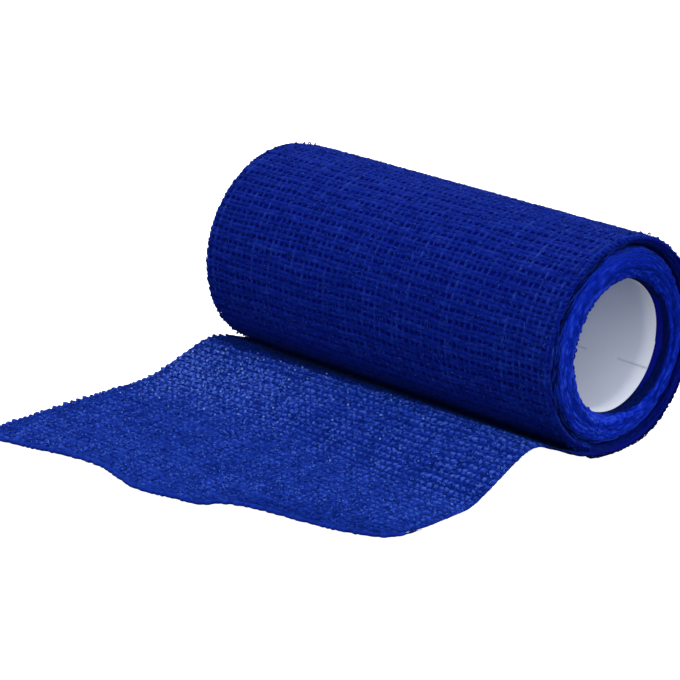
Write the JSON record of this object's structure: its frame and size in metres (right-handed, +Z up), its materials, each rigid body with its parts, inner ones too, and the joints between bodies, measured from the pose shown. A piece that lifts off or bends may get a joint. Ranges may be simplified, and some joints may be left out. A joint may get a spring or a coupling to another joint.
{
  "type": "cohesive bandage roll",
  "caption": "Roll of self-adherent crepe bandage, its end peeled off and lying in front with a low crest and a wavy cut edge, and a plain paper label rolled up in the bore.",
  "frame": {"origin": "on the surface the roll rests on, at the middle of its flat spot and straight under the roll's axis", "axes": "+X along the roll's axis, towards the end face that shows; +Y from the loose end towards the back of the roll; +Z up"},
  "size_m": [0.1008, 0.1124, 0.047],
  "materials": {
    "wound_cloth": "matt crepe cloth in many layers, deep royal blue",
    "single_cloth": "matt open crepe cloth in one layer, royal blue",
    "label_paper": "smooth white label paper, faintly lilac"
  },
  "bodies": {
    "root": {"wound_roll": "wound_cloth", "loose_end": "single_cloth", "core_label": "label_paper"}
  },
  "joints": []
}
